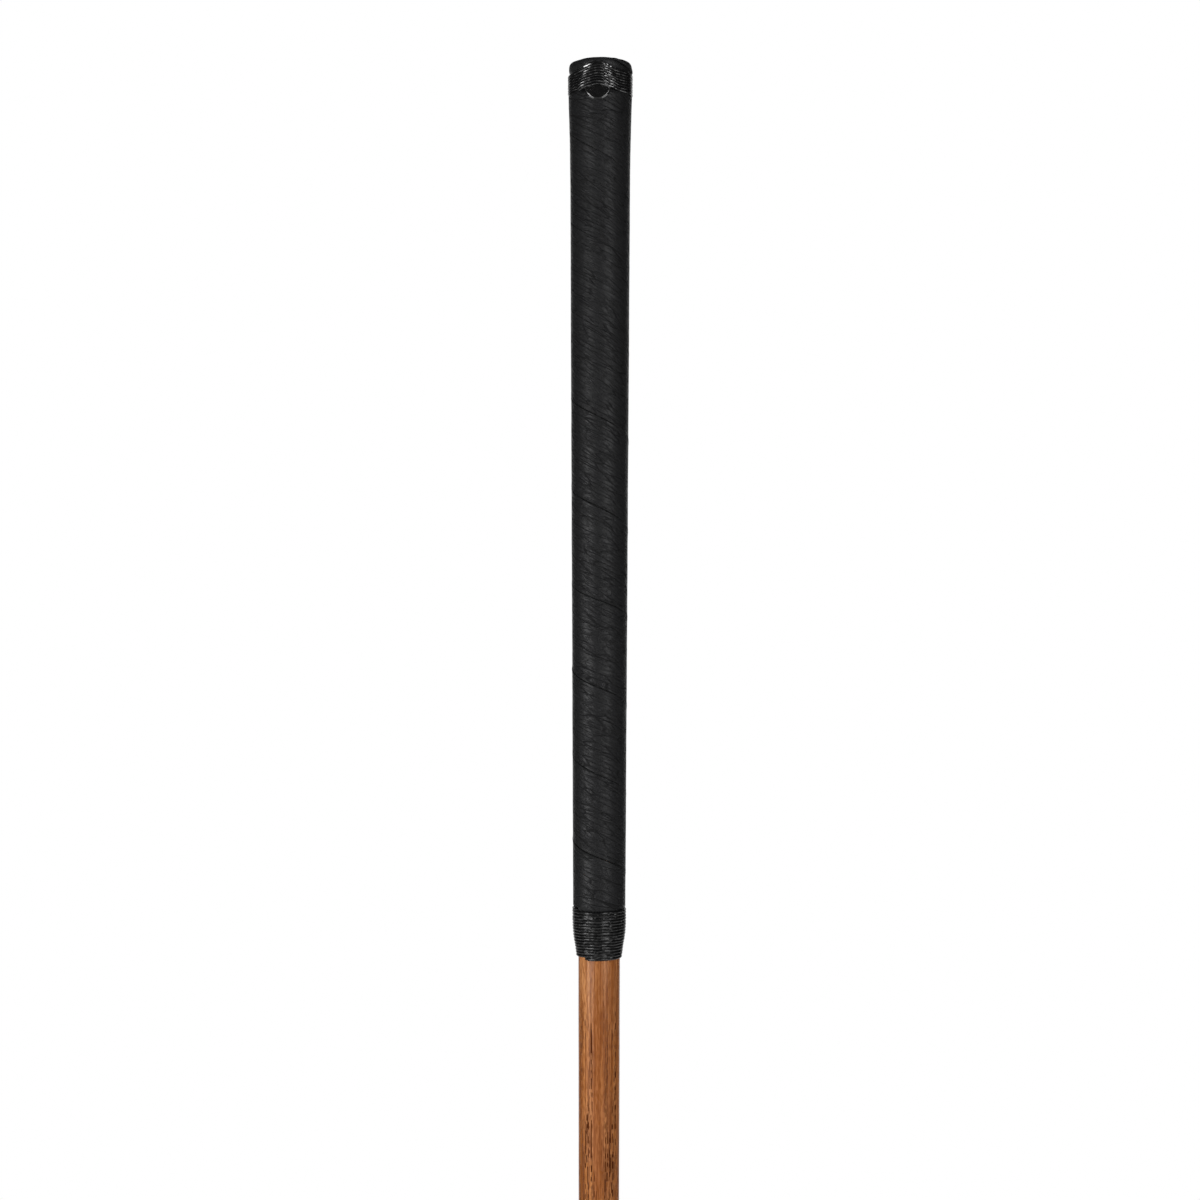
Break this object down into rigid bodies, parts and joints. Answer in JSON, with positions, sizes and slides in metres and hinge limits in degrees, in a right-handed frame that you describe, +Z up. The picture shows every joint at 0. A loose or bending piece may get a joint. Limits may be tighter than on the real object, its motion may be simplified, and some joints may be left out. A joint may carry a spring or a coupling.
{
  "type": "golf putter",
  "caption": "Wooden-shafted blade putter: a steel blade with a hosel, a tapered hickory shaft and a spirally wound black leather grip bound with thread.",
  "frame": {"origin": "on the shaft's axis at the middle of the grip, where the hands hold the club", "axes": "+Z up the shaft's axis to the butt, -Y out of the striking face's side, -X towards the toe"},
  "size_m": [0.1096, 0.025, 0.9056],
  "materials": {
    "hickory": "oiled reddish-brown hickory with fine upright grain and short dark pores, satin",
    "listing_cloth": "undyed woven cloth strip, dull",
    "grip_leather": "black calf leather, satin, finely wrinkled on the slant of the winding",
    "japanned_steel": "black japanned steel, glossy",
    "tack_steel": "plain wire steel, dull",
    "pitched_thread": "black thread soaked in pitch, glossy on the butt and satin lower down",
    "forged_steel": "hand-polished forged steel with a light patina",
    "rivet_steel": "filed flush, slightly darker than the hosel"
  },
  "bodies": {
    "root": {"hickory_shaft": "hickory", "underlisting": "listing_cloth", "leather_strip": "grip_leather", "butt_cap": "grip_leather", "grip_tack": "japanned_steel", "lower_tack": "tack_steel", "top_whipping": "pitched_thread", "bottom_whipping": "pitched_thread", "putter_head": "forged_steel", "hosel_pin": "rivet_steel"}
  },
  "joints": []
}
